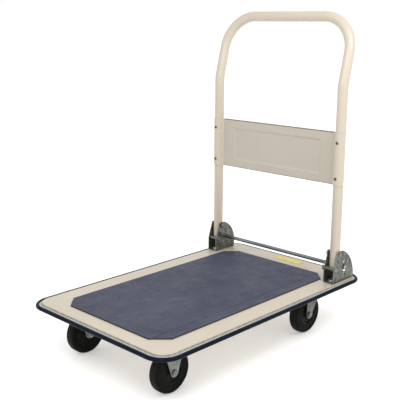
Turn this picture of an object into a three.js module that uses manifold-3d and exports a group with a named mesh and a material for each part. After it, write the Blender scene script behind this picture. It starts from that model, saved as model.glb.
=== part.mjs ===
// Folding platform cart: a pressed steel deck with a mat and a rubber bumper, a tubular handle
// that folds down over the deck, a sprung foot bar that locks it, and four casters.
// Millimetres. Seen from the front, +X is right, -X is left and +Y is the handle end. +Z is up.
// The origin is on the floor, under the centre of the cart.
import * as THREE from "three";
import { mergeVertices } from "three/addons/utils/BufferGeometryUtils.js";
import Module from "manifold-3d";

const wasm = await Module();
wasm.setup();

// ---- driving dimensions -------------------------------------------------------------------

const gap = 0.3; // between pieces that touch

const cart = { width: 464, length: 725, cornerRadius: 50 };
const deck = { top: 131, sheet: 1.5, flangeTop: 125.7, skirtBottom: 122.2, plateauInset: 13 };
const bumper = { bottom: 120, top: 128.2, wall: 4.2, lip: 8 };
const mat = { width: 337, front: -310.5, rear: 284, frontCut: 36, rearCut: 32, thickness: 2 };
const label = { width: 90, length: 24, x: 12, y: 322, thickness: 0.3 };
const crossmember = { halfLength: 190, halfWidth: 70, webHalfWidth: 52, depth: 8, sheet: 2 };

const tube = { radius: 12.7, wall: 1.6, x: 200, y: 264, bottom: 170.7 };
const handle = { kink: 623, kinkRadius: 60, lean: THREE.MathUtils.degToRad(14), reach: 168, bend: 88 };
const panel = { bottom: 380, top: 511, sheet: 1.2, hem: 9, hemHalf: 183 };
const recess = { width: 290, height: 90, radius: 6, depth: 1.6 };
const rivet = { radius: 1.8, headRadius: 3.6, headHeight: 1.6, hole: 2.1, belowTop: 24.5, aboveBottom: 18 };

const bracket = { sheet: 2, front: 239, rear: 331, top: 213, chinZ: 167, browY: 254, boltY: [252, 312] };
const wing = {
  outboard: { y: 247, z: 137, radius: 82 },
  inboard: { y: 252, z: 151, radius: 66 },
};
const bracketBase = deck.top + gap;
const innerGap = tube.radius + 0.5; // from a leg's centre to a bracket's side plate
const plateOuter = tube.x + innerGap + bracket.sheet;
const plateInner = tube.x - innerGap - bracket.sheet;

const boltRadius = 4;
const boltHole = boltRadius + gap;
const boltTip = 0.8; // how far a thread shows past its nut
const head = { acrossFlats: 13, height: 5.3 };
const nut = { acrossFlats: 13, height: 6.5 };
const thinNut = { acrossFlats: 11, height: 2 };
const pivot = { y: tube.y, z: 204, dome: { radius: 4.8, height: 1.5 } };
const stopY = tube.y - tube.radius - boltRadius - 0.5;
const stop = { y: stopY, z: 168, dome: { radius: 4.9, height: 1.2 } };
const bar = { y: 284, z: stop.z, radius: 5, travel: 12, lean: THREE.MathUtils.degToRad(17) };
const spring = { wire: 0.8, turns: 1.25, pitch: 1.9, arm: 50, tail: 15 };
const springCoil = bar.radius + spring.wire + 0.4; // so that its arm runs just under the foot bar
const tailHole = { y: bar.y - 2, z: bar.z + 14, radius: 2.8 };

const wheel = { radius: 50, width: 26, shoulder: 8, hubRadius: 29.5, hubWidth: 28.6, web: 9 };
const fork = { halfGap: 15, sheet: 2.5, eyeRadius: 11, waistZ: 78 };
const topPlate = { x: 65, y: 95, sheet: 2.5 };
const topPlateTop = deck.top - deck.sheet - crossmember.depth - 2 * gap;
const topPlateBottom = topPlateTop - topPlate.sheet;
const frontCaster = { x: 144, y: -261, legTop: [-33, 33], halfWaist: 20 };
const rearCaster = { x: 155, y: 235, trail: 30, legTop: [-40, 20], halfWaist: 15 };

// ---- finishes -----------------------------------------------------------------------------

const finishes = {
  enamel: { color: 0xe6dccb, roughness: 0.38, metalness: 0 },
  panelEnamel: { color: 0xd3cab8, roughness: 0.42, metalness: 0 },
  vinyl: { color: 0x4a5262, roughness: 0.75, metalness: 0 },
  bumperRubber: { color: 0x1a2435, roughness: 0.42, metalness: 0 },
  bracketZinc: { color: 0x7d817a, roughness: 0.4, metalness: 0.9 },
  forkZinc: { color: 0x9a9e98, roughness: 0.36, metalness: 0.9 },
  fastener: { color: 0xa3a5a0, roughness: 0.32, metalness: 0.9 },
  darkRivet: { color: 0x4b443d, roughness: 0.45, metalness: 0.8 },
  barSteel: { color: 0x85898c, roughness: 0.35, metalness: 0.9 },
  tyreRubber: { color: 0x15181b, roughness: 0.7, metalness: 0 },
  hubPlastic: { color: 0x1f2326, roughness: 0.5, metalness: 0 },
  yellowFilm: { color: 0xe6bf3a, roughness: 0.5, metalness: 0 },
};

// ---- solids -------------------------------------------------------------------------------

function toManifold(geometry) {
  const bare = geometry.clone();
  bare.deleteAttribute("normal");
  bare.deleteAttribute("uv");
  const merged = mergeVertices(bare, 1e-4);
  const vertProperties = Float32Array.from(merged.attributes.position.array);
  const triVerts = Uint32Array.from(merged.index.array);
  return new wasm.Manifold(new wasm.Mesh({ numProp: 3, vertProperties, triVerts }));
}

function toGeometry(solid) {
  const mesh = solid.getMesh();
  const geometry = new THREE.BufferGeometry();
  geometry.setAttribute("position", new THREE.BufferAttribute(mesh.vertProperties, 3));
  geometry.setIndex(new THREE.BufferAttribute(mesh.triVerts, 1));
  geometry.computeVertexNormals();
  return geometry;
}

// joins the first list of geometries and takes the second list away
function carve(added, removed = []) {
  const solid = added.map(toManifold).reduce((a, b) => a.add(b));
  return toGeometry(removed.map(toManifold).reduce((a, b) => a.subtract(b), solid));
}

function common(first, second) {
  return toGeometry(toManifold(first).intersect(toManifold(second)));
}

// an outline drawn in (x, y) for axis z, in (y, z) for axis x and in (x, z) for axis y
// height and size are its bevel's; segments divide each curve and steps divide the bevel
function prism(outline, axis, from, to, { height = 0, size = 0, segments = 5, steps = 1 } = {}) {
  const geometry = new THREE.ExtrudeGeometry(outline, {
    depth: to - from - 2 * height,
    curveSegments: segments,
    bevelEnabled: height > 0,
    bevelThickness: height,
    bevelSize: size,
    bevelOffset: -size,
    bevelSegments: steps,
  });
  geometry.translate(0, 0, height);
  const basis = new THREE.Matrix4();
  const [x, y, z] = [[1, 0, 0], [0, 1, 0], [0, 0, 1]].map((v) => new THREE.Vector3(...v));
  if (axis === "x") geometry.applyMatrix4(basis.makeBasis(y, z, x)).translate(from, 0, 0);
  if (axis === "y") geometry.applyMatrix4(basis.makeBasis(x, z, y.negate())).translate(0, to, 0);
  if (axis === "z") geometry.translate(0, 0, from);
  return geometry;
}

function turn(geometry, axis) {
  if (axis === "x") geometry.rotateZ(-Math.PI / 2);
  if (axis === "z") geometry.rotateX(Math.PI / 2);
  return geometry;
}

// a round bar along an axis; centre holds its other two coordinates
function cylinder(axis, radius, from, to, centre, sides = 12) {
  const geometry = turn(new THREE.CylinderGeometry(radius, radius, to - from, sides), axis);
  const middle = (from + to) / 2;
  const place = { x: [middle, ...centre], y: [centre[0], middle, centre[1]], z: [...centre, middle] };
  return geometry.translate(...place[axis]);
}

// a hole drilled down through the deck or a caster's top
function drill(radius, x, y) {
  return cylinder("z", radius, 90, deck.top + 10, [x, y]);
}

function hexagon(axis, acrossFlats, from, to, centre) {
  return cylinder(axis, acrossFlats / Math.sqrt(3), from, to, centre, 6);
}

function box(x, y, z) {
  const geometry = new THREE.BoxGeometry(x[1] - x[0], y[1] - y[0], z[1] - z[0]);
  return geometry.translate((x[0] + x[1]) / 2, (y[0] + y[1]) / 2, (z[0] + z[1]) / 2);
}

// a ring or disc about the X axis, its outline given as [radius, x] going anticlockwise
function wheelOf(outline, sides) {
  const points = outline.map(([radius, x]) => new THREE.Vector2(radius, x));
  return turn(new THREE.LatheGeometry([...points, points[0].clone()], sides), "x");
}

// x limits in rising order for a piece on one side of the cart
function span(sign, a, b) {
  return [Math.min(sign * a, sign * b), Math.max(sign * a, sign * b)];
}

function polygon(points) {
  return new THREE.Shape(points.map(([x, y]) => new THREE.Vector2(x, y)));
}

function roundedRectangle(width, length, radius) {
  const [x, y] = [width / 2 - radius, length / 2 - radius];
  const shape = new THREE.Shape();
  shape.absarc(x, y, radius, 0, Math.PI / 2);
  shape.absarc(-x, y, radius, Math.PI / 2, Math.PI);
  shape.absarc(-x, -y, radius, Math.PI, 1.5 * Math.PI);
  shape.absarc(x, -y, radius, 1.5 * Math.PI, 2 * Math.PI);
  shape.closePath();
  return shape;
}

// the cart's outline, drawn in by an inset all round
function cartOutline(inset) {
  const radius = cart.cornerRadius - inset;
  return roundedRectangle(cart.width - 2 * inset, cart.length - 2 * inset, radius);
}

// a path through given points, used as it is, so that straight runs take no extra rings
class PointRoute extends THREE.Curve {
  constructor(points) {
    super();
    this.points = points;
  }

  getPointAt(share, target = new THREE.Vector3()) {
    return target.copy(this.points[Math.round(share * (this.points.length - 1))]);
  }

  getTangentAt(share, target = new THREE.Vector3()) {
    const last = this.points.length - 1;
    const index = Math.round(share * last);
    const before = this.points[Math.max(index - 1, 0)];
    const here = this.points[index];
    const after = this.points[Math.min(index + 1, last)];
    const incoming = here.clone().sub(before).normalize();
    const outgoing = after.clone().sub(here).normalize();
    return target.copy(incoming.add(outgoing)).normalize();
  }

  getSpacedPoints() {
    return this.points;
  }
}

function sweep(points, radius, boreRadius = 0, curveSegments = 8) {
  const section = new THREE.Shape().absarc(0, 0, radius, 0, 2 * Math.PI);
  if (boreRadius > 0) section.holes.push(new THREE.Path().absarc(0, 0, boreRadius, 0, 2 * Math.PI));
  const extrudePath = new PointRoute(points);
  return new THREE.ExtrudeGeometry(section, { steps: points.length - 1, extrudePath, curveSegments });
}

// points on an arc that starts at centre + radius * start and turns towards end
function arcPoints(centre, radius, start, end, angle, count) {
  return Array.from({ length: count + 1 }, (_, i) => {
    const at = (angle * i) / count;
    const offset = start.clone().multiplyScalar(Math.cos(at)).addScaledVector(end, Math.sin(at));
    return centre.clone().addScaledVector(offset, radius);
  });
}

// ---- deck ---------------------------------------------------------------------------------

function deckPlate() {
  const flangeInset = bumper.wall + gap;
  const edge = { height: 0.7, size: 0.7 };
  const flange = prism(cartOutline(flangeInset), "z", deck.skirtBottom, deck.flangeTop, edge);
  const pressing = { height: 2.5, size: 2, steps: 2 };
  const plateau = prism(cartOutline(deck.plateauInset), "z", deck.skirtBottom, deck.top, pressing);
  const hollowTop = deck.flangeTop - deck.sheet;
  const below = deck.skirtBottom - 10;
  const skirtHollow = prism(cartOutline(flangeInset + deck.sheet), "z", below, hollowTop);
  const underPressing = { height: 2, size: 2 };
  const underPlateau = cartOutline(deck.plateauInset + 2 * deck.sheet);
  const plateauHollow = prism(underPlateau, "z", below, deck.top - deck.sheet, underPressing);
  const holes = [-tube.x, tube.x].flatMap((x) => bracket.boltY.map((y) => drill(boltHole, x, y)));
  return carve([flange, plateau], [skirtHollow, plateauHollow, ...holes]);
}

function deckMat() {
  const { front, rear, frontCut, rearCut } = mat;
  const x = mat.width / 2;
  const right = [[x - frontCut, front], [x, front + frontCut], [x, rear - rearCut], [x - rearCut, rear]];
  const left = right.map(([a, b]) => [-a, b]).reverse();
  const base = deck.top + gap;
  return prism(polygon([...right, ...left]), "z", base, base + mat.thickness, { height: 0.4, size: 0.5 });
}

// a C section that wraps the edge of the deck's flange
function edgeBumper() {
  const rounding = { height: 2.5, size: 2, steps: 2 };
  const body = prism(cartOutline(0), "z", bumper.bottom, bumper.top, rounding);
  const mouth = prism(cartOutline(bumper.lip), "z", bumper.bottom - 1, bumper.top + 1);
  const grooveBottom = deck.skirtBottom - gap;
  const groove = prism(cartOutline(bumper.wall), "z", grooveBottom, deck.flangeTop + gap);
  return carve([body], [mouth, groove]);
}

function rearLabel() {
  const base = deck.top + gap;
  const [x, y] = [label.width / 2, label.length / 2];
  return box([label.x - x, label.x + x], [label.y - y, label.y + y], [base, base + label.thickness]);
}

// a hat section across the underside, with its web down, where the casters' plates sit
function crossmemberAt(y) {
  const top = deck.top - deck.sheet - gap;
  const [bottom, sheet] = [top - crossmember.depth, crossmember.sheet];
  const [outer, web, slope] = [crossmember.halfWidth, crossmember.webHalfWidth, 2];
  const right = [
    [web, bottom],
    [web + slope, top - sheet],
    [outer, top - sheet],
    [outer, top],
    [web, top],
    [web - slope, bottom + sheet],
  ];
  const left = right.map(([a, b]) => [-a, b]).reverse();
  const outline = polygon([...right, ...left].map(([a, b]) => [y + a, b]));
  return prism(outline, "x", -crossmember.halfLength, crossmember.halfLength);
}

// ---- brackets and the lock ----------------------------------------------------------------

// side view of a bracket's plate: upright front edge, sloping brow, round fan at the rear
function fanOutline({ y, z, radius }) {
  const angleAt = (height) => Math.asin((height - z) / radius);
  const shape = new THREE.Shape();
  shape.moveTo(bracket.front, bracketBase);
  shape.lineTo(y + radius * Math.cos(angleAt(bracketBase)), bracketBase);
  shape.absarc(y, z, radius, angleAt(bracketBase), angleAt(bracket.top));
  shape.lineTo(bracket.browY, bracket.top);
  shape.lineTo(bracket.front, bracket.chinZ);
  shape.closePath();
  return shape;
}

function channelOutline(x) {
  const [outer, inner] = [innerGap + bracket.sheet, innerGap];
  const [low, floor, top] = [bracketBase, bracketBase + bracket.sheet, bracket.top];
  const [outerBend, innerBend] = [3, 1];
  const shape = new THREE.Shape();
  shape.moveTo(x - outer, top);
  shape.lineTo(x - outer, low + outerBend);
  shape.absarc(x - outer + outerBend, low + outerBend, outerBend, Math.PI, 1.5 * Math.PI);
  shape.absarc(x + outer - outerBend, low + outerBend, outerBend, 1.5 * Math.PI, 2 * Math.PI);
  shape.lineTo(x + outer, top);
  shape.lineTo(x + inner, top);
  shape.absarc(x + inner - innerBend, floor + innerBend, innerBend, 0, -Math.PI / 2, true);
  shape.absarc(x - inner + innerBend, floor + innerBend, innerBend, -Math.PI / 2, -Math.PI, true);
  shape.lineTo(x - inner, top);
  shape.closePath();
  return shape;
}

// the slanted slot that the foot bar slides down, long enough for its travel
function barSlot() {
  const radius = bar.radius + 0.5;
  const [dy, dz] = [Math.sin(bar.lean), -Math.cos(bar.lean)];
  const across = Math.atan2(dz, dy) + Math.PI / 2;
  const shape = new THREE.Shape();
  shape.absarc(bar.y, bar.z, radius, across, across + Math.PI);
  const end = [bar.y + bar.travel * dy, bar.z + bar.travel * dz];
  shape.absarc(...end, radius, across + Math.PI, across + 2 * Math.PI);
  shape.closePath();
  return shape;
}

// one plate follows the outboard outline and the other the smaller inboard one
function handleBracket(sign) {
  const x = sign * tube.x;
  const channel = prism(channelOutline(x), "y", bracket.front - 1, bracket.rear + 1, { segments: 3 });
  const [outer, split, inner] = [plateOuter + 10, plateInner + bracket.sheet + 1, plateInner - 10];
  const outboard = prism(fanOutline(wing.outboard), "x", ...span(sign, split, outer), { segments: 9 });
  const inboard = prism(fanOutline(wing.inboard), "x", ...span(sign, inner, split), { segments: 9 });
  const [from, to] = span(sign, inner, outer);
  const slot = prism(barSlot(), "x", from, to, { segments: 4 });
  const crossHoles = [pivot, stop].map(({ y, z }) => cylinder("x", boltHole, from, to, [y, z]));
  crossHoles.push(cylinder("x", tailHole.radius, from, to, [tailHole.y, tailHole.z], 10));
  const floorHoles = bracket.boltY.map((y) => drill(boltHole, x, y));
  return carve([common(channel, carve([outboard, inboard]))], [slot, ...crossHoles, ...floorHoles]);
}

// a low round head, flat against a bracket's outboard plate
function domedHead(sign, { radius, height }, face, centre) {
  const crownRadius = 0.6 * radius;
  const [outer, inner] = sign > 0 ? [crownRadius, radius] : [radius, crownRadius];
  const geometry = turn(new THREE.CylinderGeometry(outer, inner, height, 12), "x");
  return geometry.translate(sign * (face + height / 2), ...centre);
}

// a bolt across a bracket, its head outboard; reach is where its thread ends inboard
function crossBolt(sign, { y, z, dome }, reach) {
  const face = plateOuter + gap;
  const shank = cylinder("x", boltRadius, ...span(sign, reach, face + 1), [y, z]);
  return carve([shank, domedHead(sign, dome, face, [y, z])]);
}

function crossNut(sign, { y, z }, outerFace, { acrossFlats, height }) {
  const limits = span(sign, outerFace - height, outerFace);
  const hole = cylinder("x", boltHole, limits[0] - 1, limits[1] + 1, [y, z]);
  return carve([hexagon("x", acrossFlats, ...limits, [y, z])], [hole]);
}

function bracketBolt(x, y) {
  const seat = bracketBase + bracket.sheet + gap;
  const underDeck = deck.top - deck.sheet - gap;
  const shank = cylinder("z", boltRadius, underDeck - nut.height - boltTip, seat + 1, [x, y]);
  return carve([shank, hexagon("z", head.acrossFlats, seat, seat + head.height, [x, y])]);
}

function bracketNut(x, y) {
  const top = deck.top - deck.sheet - gap;
  const hole = cylinder("z", boltHole, top - nut.height - 1, top + 1, [x, y]);
  return carve([hexagon("z", nut.acrossFlats, top - nut.height, top, [x, y])], [hole]);
}

const clip = { radius: bar.radius + 2, thickness: 1.2, from: plateOuter + 0.5 };

function lockBar() {
  const end = clip.from + clip.thickness + 2;
  return cylinder("x", bar.radius, -end, end, [bar.y, bar.z], 14);
}

function barClip(sign) {
  const limits = span(sign, clip.from, clip.from + clip.thickness);
  const hole = cylinder("x", bar.radius + gap, limits[0] - 1, limits[1] + 1, [bar.y, bar.z], 14);
  return carve([cylinder("x", clip.radius, ...limits, [bar.y, bar.z], 14)], [hole]);
}

const springFace = plateInner - gap - spring.wire; // the arm's centre line, beside the inner plate
const springEnd = springFace - spring.turns * spring.pitch;

// wound round the stop bolt: an arm under the foot bar, the coil, and a tail up the front edge
function barSpring(sign) {
  const at = (x, y, z) => new THREE.Vector3(sign * x, stop.y + y, stop.z + z);
  const steps = Math.round(spring.turns * 8);
  const coil = Array.from({ length: steps + 1 }, (_, i) => {
    const turns = (spring.turns * i) / steps;
    const angle = -Math.PI / 2 - turns * 2 * Math.PI;
    const [y, z] = [springCoil * Math.cos(angle), springCoil * Math.sin(angle)];
    return at(springFace - spring.pitch * turns, y, z);
  });
  const arm = at(springFace, spring.arm, -springCoil);
  const tail = at(springEnd, -springCoil, spring.tail);
  return sweep([arm, ...coil, tail], spring.wire, 0, 3);
}

// ---- handle -------------------------------------------------------------------------------

const up = new THREE.Vector3(0, 0, 1);
const right = new THREE.Vector3(1, 0, 0);
const leaning = new THREE.Vector3(0, Math.sin(handle.lean), Math.cos(handle.lean));
const rivetHeights = { upper: panel.top - rivet.belowTop, lower: panel.bottom + rivet.aboveBottom };

// centre line of the left leg: straight up, a bend rearwards, then the round top corner
function leftLegRoute() {
  const foot = new THREE.Vector3(-tube.x, tube.y, tube.bottom);
  const bendLength = handle.kinkRadius * Math.tan(handle.lean / 2);
  const rear = new THREE.Vector3(0, 1, 0);
  const bendStart = new THREE.Vector3(-tube.x, tube.y, handle.kink - bendLength);
  const bendCentre = bendStart.clone().addScaledVector(rear, handle.kinkRadius);
  const bend = arcPoints(bendCentre, handle.kinkRadius, rear.clone().negate(), up, handle.lean, 3);
  const cornerCentre = new THREE.Vector3(-tube.x + handle.bend, tube.y, handle.kink);
  cornerCentre.addScaledVector(leaning, handle.reach - handle.bend);
  const corner = arcPoints(cornerCentre, handle.bend, right.clone().negate(), leaning, Math.PI / 2, 8);
  return [foot, ...bend, ...corner];
}

// holes for the panel's rivets, in the front of one leg
function rivetHoles(x) {
  const front = tube.y - tube.radius - 5;
  return Object.values(rivetHeights).map((z) => cylinder("y", rivet.hole, front, tube.y, [x, z], 8));
}

function handleTube() {
  const left = leftLegRoute();
  const rightLeg = left.map((p) => new THREE.Vector3(-p.x, p.y, p.z)).reverse();
  const body = sweep([...left, ...rightLeg], tube.radius, tube.radius - tube.wall, 7);
  const drilled = [-tube.x, tube.x].flatMap((x) => {
    const [from, to] = [x - tube.radius - 5, x + tube.radius + 5];
    return [cylinder("x", boltHole, from, to, [pivot.y, pivot.z]), ...rivetHoles(x)];
  });
  return carve([body], drilled);
}

// a sheet set between the legs, curled round the front of each, with hemmed edges and a
// shallow recess pressed into its middle from the front
function handlePanel() {
  const { sheet, bottom, top, hem, hemHalf } = panel;
  const [curlInner, curlOuter] = [tube.radius + gap, tube.radius + gap + sheet];
  const [front, back] = [tube.y - sheet / 2, tube.y + sheet / 2];
  const reach = tube.x - curlInner - sheet / 2;
  const web = box([-reach, reach], [front, back], [bottom, top]);
  const curls = [-tube.x, tube.x].map((x) => {
    const shape = new THREE.Shape();
    shape.absarc(x, tube.y, curlOuter, Math.PI, 2 * Math.PI);
    shape.absarc(x, tube.y, curlInner, 2 * Math.PI, Math.PI, true);
    return prism(shape, "z", bottom, top);
  });
  const hems = [[bottom, bottom + sheet], [top - sheet, top]].map((z) =>
    box([-hemHalf, hemHalf], [front, back + hem], z),
  );
  const middle = (bottom + top) / 2;
  const pressing = { height: 1.2, size: 2, segments: 3 };
  const { width, height, radius, depth } = recess;
  const outline = roundedRectangle(width, height, radius);
  const pushed = prism(outline, "y", front, back + depth, pressing).translate(0, 0, middle);
  const innerOutline = roundedRectangle(width - 3, height - 3, radius - 1.5);
  const hollow = prism(innerOutline, "y", front - 4, front + depth, pressing).translate(0, 0, middle);
  return carve([web, ...curls, ...hems, pushed], [hollow, ...[-tube.x, tube.x].flatMap(rivetHoles)]);
}

function panelRivet(x, z) {
  const face = tube.y - tube.radius - 2 * gap - panel.sheet;
  const cap = cylinder("y", rivet.headRadius, face - rivet.headHeight, face, [x, z]);
  return carve([cap, cylinder("y", rivet.radius, face - 1, face + 5, [x, z], 8)]);
}

// ---- casters ------------------------------------------------------------------------------

// side view of one fork leg: wide at the top, curving in to a round eye at the axle
function forkLeg({ topY, topZ, axleY, halfWaist }) {
  const { eyeRadius, waistZ } = fork;
  const lean = (topY[0] + topY[1]) / 2 - axleY;
  const [left, right] = [-1, 1].map((side) => axleY + 0.3 * lean + side * halfWaist);
  const shape = new THREE.Shape();
  shape.moveTo(topY[0], topZ);
  shape.quadraticCurveTo(left, waistZ, axleY - eyeRadius, wheel.radius);
  shape.absarc(axleY, wheel.radius, eyeRadius, Math.PI, 2 * Math.PI);
  shape.quadraticCurveTo(right, waistZ, topY[1], topZ);
  shape.closePath();
  return shape;
}

function forkLegs(x, view) {
  const { halfGap, sheet } = fork;
  return [[x - halfGap - sheet, x - halfGap], [x + halfGap, x + halfGap + sheet]].map(([from, to]) =>
    prism(forkLeg(view), "x", from, to, { segments: 6 }),
  );
}

function axleHole(x, y) {
  const reach = fork.halfGap + fork.sheet + 5;
  return cylinder("x", boltHole, x - reach, x + reach, [y, wheel.radius]);
}

function casterPlate(x, y) {
  const outline = roundedRectangle(topPlate.x, topPlate.y, 6);
  return prism(outline, "z", topPlateBottom, topPlateTop, { segments: 3 }).translate(x, y, 0);
}

function fixedFork(x, y) {
  const topY = frontCaster.legTop.map((offset) => y + offset);
  const { halfWaist } = frontCaster;
  const legs = forkLegs(x, { topY, topZ: topPlateBottom + 1, axleY: y, halfWaist });
  return carve([casterPlate(x, y), ...legs], [axleHole(x, y)]);
}

const race = { radius: 23, depth: 5.2 };
const raceBottom = topPlateBottom - race.depth;
const crown = { radius: 28, top: raceBottom - 2.6, sheet: 2.8 };
const kingpin = { radius: 6, headRadius: 10, headHeight: 4 };

function swivelPlate(x, y) {
  const boss = cylinder("z", race.radius, raceBottom, topPlateBottom + 1, [x, y], 16);
  return carve([casterPlate(x, y), boss], [drill(kingpin.radius + gap, x, y)]);
}

// the crown's raised rim hides the ball race; the fork is one pressing with it
function swivelFork(x, y) {
  const bottom = crown.top - crown.sheet;
  const rimTop = topPlateBottom - 1.5;
  const disc = cylinder("z", crown.radius, bottom, rimTop, [x, y], 16);
  const raceRoom = cylinder("z", race.radius + 1, raceBottom - gap, rimTop + 1, [x, y], 16);
  const reach = fork.halfGap + fork.sheet;
  const topY = rearCaster.legTop.map((offset) => y + offset);
  const bridge = box([x - reach, x + reach], topY, [bottom, crown.top]);
  const axleY = y - rearCaster.trail;
  const { halfWaist } = rearCaster;
  const legs = forkLegs(x, { topY, topZ: crown.top, axleY, halfWaist });
  const hole = drill(kingpin.radius + gap, x, y);
  return carve([disc, bridge, ...legs], [hole, raceRoom, axleHole(x, axleY)]);
}

function kingpinRivet(x, y) {
  const seat = crown.top - crown.sheet - gap;
  const shank = cylinder("z", kingpin.radius, seat - 1, topPlateTop - gap, [x, y]);
  return carve([shank, cylinder("z", kingpin.headRadius, seat - kingpin.headHeight, seat, [x, y])]);
}

const forkFace = fork.halfGap + fork.sheet + gap; // where the axle's head and nut sit
const axleHeadHeight = 3.5;

function axleBolt(sign, x, y) {
  const centre = [y, wheel.radius];
  const face = x + forkFace;
  const reach = x - forkFace - nut.height - boltTip;
  const shank = cylinder("x", boltRadius, ...span(sign, reach, face + 1), centre);
  const cap = hexagon("x", head.acrossFlats, ...span(sign, face, face + axleHeadHeight), centre);
  return carve([shank, cap]);
}

function axleNut(sign, x, y) {
  return crossNut(sign, { y, z: wheel.radius }, x - forkFace, nut);
}

function tyre(x, y) {
  const { radius, width, shoulder, hubRadius } = wheel;
  const [half, bore] = [width / 2, hubRadius + gap];
  const quarter = 3;
  const corner = (side) =>
    Array.from({ length: quarter + 1 }, (_, i) => {
      const angle = (i / quarter) * (Math.PI / 2);
      const [rise, run] = side < 0 ? [Math.sin(angle), Math.cos(angle)] : [Math.cos(angle), Math.sin(angle)];
      return [radius - shoulder + shoulder * rise, side * (half - shoulder + shoulder * run)];
    });
  return wheelOf([[bore, -half], ...corner(-1), ...corner(1), [bore, half]], 32).translate(x, y, radius);
}

function wheelHub(x, y) {
  const [half, bore, boss] = [wheel.hubWidth / 2, boltHole, 11];
  const { hubRadius: rim, web } = wheel;
  const [rimInner, face] = [rim - 4, wheel.width / 2 - 1];
  const side = [[rim, face], [rimInner, face], [rimInner, web], [boss, web], [boss, half], [bore, half]];
  const other = side.map(([radius, along]) => [radius, -along]).reverse();
  return wheelOf([...side, ...other], 16).translate(x, y, wheel.radius);
}

// ---- assembly -----------------------------------------------------------------------------

const group = new THREE.Group();

function add(name, geometry, finish) {
  const mesh = new THREE.Mesh(geometry, new THREE.MeshStandardMaterial(finishes[finish]));
  mesh.name = name;
  group.add(mesh);
}

const sides = { left: -1, right: 1 };

function addDeck() {
  add("deck_plate", deckPlate(), "enamel");
  add("deck_mat", deckMat(), "vinyl");
  add("edge_bumper", edgeBumper(), "bumperRubber");
  add("rear_label", rearLabel(), "yellowFilm");
  add("front_crossmember", crossmemberAt(frontCaster.y), "enamel");
  add("rear_crossmember", crossmemberAt(rearCaster.y), "enamel");
}

function addBracket(side, sign) {
  const x = sign * tube.x;
  add(`bracket_${side}`, handleBracket(sign), "bracketZinc");
  const inboardNut = plateInner - gap;
  const springNut = springEnd - spring.wire - gap;
  add(`pivot_bolt_${side}`, crossBolt(sign, pivot, inboardNut - nut.height - boltTip), "fastener");
  add(`pivot_nut_${side}`, crossNut(sign, pivot, inboardNut, nut), "fastener");
  add(`stop_bolt_${side}`, crossBolt(sign, stop, springNut - thinNut.height - boltTip), "fastener");
  add(`stop_nut_${side}`, crossNut(sign, stop, springNut, thinNut), "fastener");
  add(`bar_spring_${side}`, barSpring(sign), "barSteel");
  for (const [index, place] of ["front", "rear"].entries()) {
    add(`bracket_bolt_${side}_${place}`, bracketBolt(x, bracket.boltY[index]), "fastener");
    add(`bracket_nut_${side}_${place}`, bracketNut(x, bracket.boltY[index]), "fastener");
  }
}

function addWheel(place, sign, x, y) {
  add(`axle_bolt_${place}`, axleBolt(sign, x, y), "fastener");
  add(`axle_nut_${place}`, axleNut(sign, x, y), "fastener");
  add(`wheel_hub_${place}`, wheelHub(sign * x, y), "hubPlastic");
  add(`tyre_${place}`, tyre(sign * x, y), "tyreRubber");
}

function addFrontCaster(side, sign) {
  const { x, y } = frontCaster;
  add(`fixed_fork_${side}`, fixedFork(sign * x, y), "forkZinc");
  addWheel(`front_${side}`, sign, x, y);
}

function addRearCaster(side, sign) {
  const { x, y, trail } = rearCaster;
  add(`swivel_plate_${side}`, swivelPlate(sign * x, y), "forkZinc");
  add(`swivel_fork_${side}`, swivelFork(sign * x, y), "forkZinc");
  add(`kingpin_${side}`, kingpinRivet(sign * x, y), "fastener");
  addWheel(`rear_${side}`, sign, x, y - trail);
}

addDeck();
add("lock_bar", lockBar(), "barSteel");
add("handle_tube", handleTube(), "enamel");
add("handle_panel", handlePanel(), "panelEnamel");
for (const [side, sign] of Object.entries(sides)) {
  addBracket(side, sign);
  add(`bar_clip_${side}`, barClip(sign), "barSteel");
  for (const [level, z] of Object.entries(rivetHeights)) {
    add(`panel_rivet_${side}_${level}`, panelRivet(sign * tube.x, z), "darkRivet");
  }
  addFrontCaster(side, sign);
  addRearCaster(side, sign);
}

export default group;
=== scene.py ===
"""Looks of the folding platform cart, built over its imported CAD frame.

Shapes are drawn in millimetres in the cart's own frame and turned into metres as each piece is made.
+X is right and +Y is the handle end, seen from the front. +Z is up and the floor is at zero.
"""
from math import asin, copysign, cos, hypot, pi, radians, sin, sqrt, tan

import bmesh
import bpy
from mathutils import Matrix, Vector


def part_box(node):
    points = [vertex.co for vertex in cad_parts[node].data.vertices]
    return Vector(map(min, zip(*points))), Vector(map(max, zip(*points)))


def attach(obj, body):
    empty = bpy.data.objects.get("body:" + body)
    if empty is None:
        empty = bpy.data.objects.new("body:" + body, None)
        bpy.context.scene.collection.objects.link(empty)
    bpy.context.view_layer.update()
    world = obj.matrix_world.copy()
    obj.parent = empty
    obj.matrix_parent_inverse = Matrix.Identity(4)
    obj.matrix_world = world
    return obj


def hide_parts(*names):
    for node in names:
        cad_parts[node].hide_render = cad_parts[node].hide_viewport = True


MM = 0.001
SIDES = {"left": -1, "right": 1}

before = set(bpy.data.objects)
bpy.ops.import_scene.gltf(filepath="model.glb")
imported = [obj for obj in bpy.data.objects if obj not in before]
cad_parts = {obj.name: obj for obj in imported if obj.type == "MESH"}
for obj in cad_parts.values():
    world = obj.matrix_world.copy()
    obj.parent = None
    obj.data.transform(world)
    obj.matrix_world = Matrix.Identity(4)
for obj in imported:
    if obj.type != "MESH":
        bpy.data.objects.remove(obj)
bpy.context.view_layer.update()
scene = bpy.context.scene


# ---- camera, floor and light ----


def linked(name, data):
    """An object in the scene that holds some data."""
    made = bpy.data.objects.new(name, data)
    scene.collection.objects.link(made)
    return made


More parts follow.
